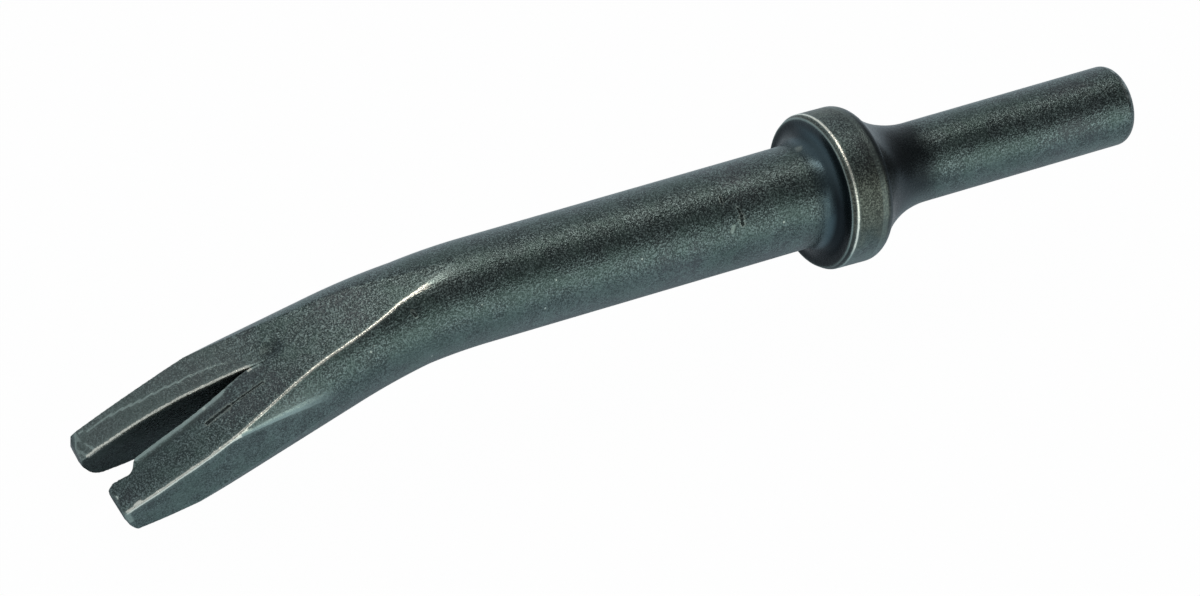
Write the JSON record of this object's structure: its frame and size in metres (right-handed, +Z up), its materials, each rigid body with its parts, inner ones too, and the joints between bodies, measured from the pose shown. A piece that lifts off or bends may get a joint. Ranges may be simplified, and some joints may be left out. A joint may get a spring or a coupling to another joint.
{
  "type": "air hammer claw bit",
  "caption": "Forged steel bit for an air hammer: round shank, flared neck, retaining collar and round body, with a bent claw that ends in two tines beside a V slot",
  "frame": {"origin": "centre of the flat struck face at the end of the shank", "axes": "+X runs out of the struck face along the shank's axis, so the bit runs along -X; +Z is up, away from the side that the claw bends to; +Y follows by the right-hand rule, and the slot lies on the plane Y = 0"},
  "size_m": [0.1438, 0.0198, 0.0308],
  "materials": {
    "plain_steel": "grey-green phosphate skin with a fine sparkling grain",
    "forged_steel": "dark forged oxide skin, smooth, with a bluish sheen",
    "ground_steel": "forged flats under a thin oxide skin, with bright worn edges"
  },
  "bodies": {
    "root": {"shank": "plain_steel", "neck": "forged_steel", "collar": "forged_steel", "body": "plain_steel", "bend": "plain_steel", "claw_root": "ground_steel", "left_tine": "ground_steel", "right_tine": "ground_steel"}
  },
  "joints": []
}
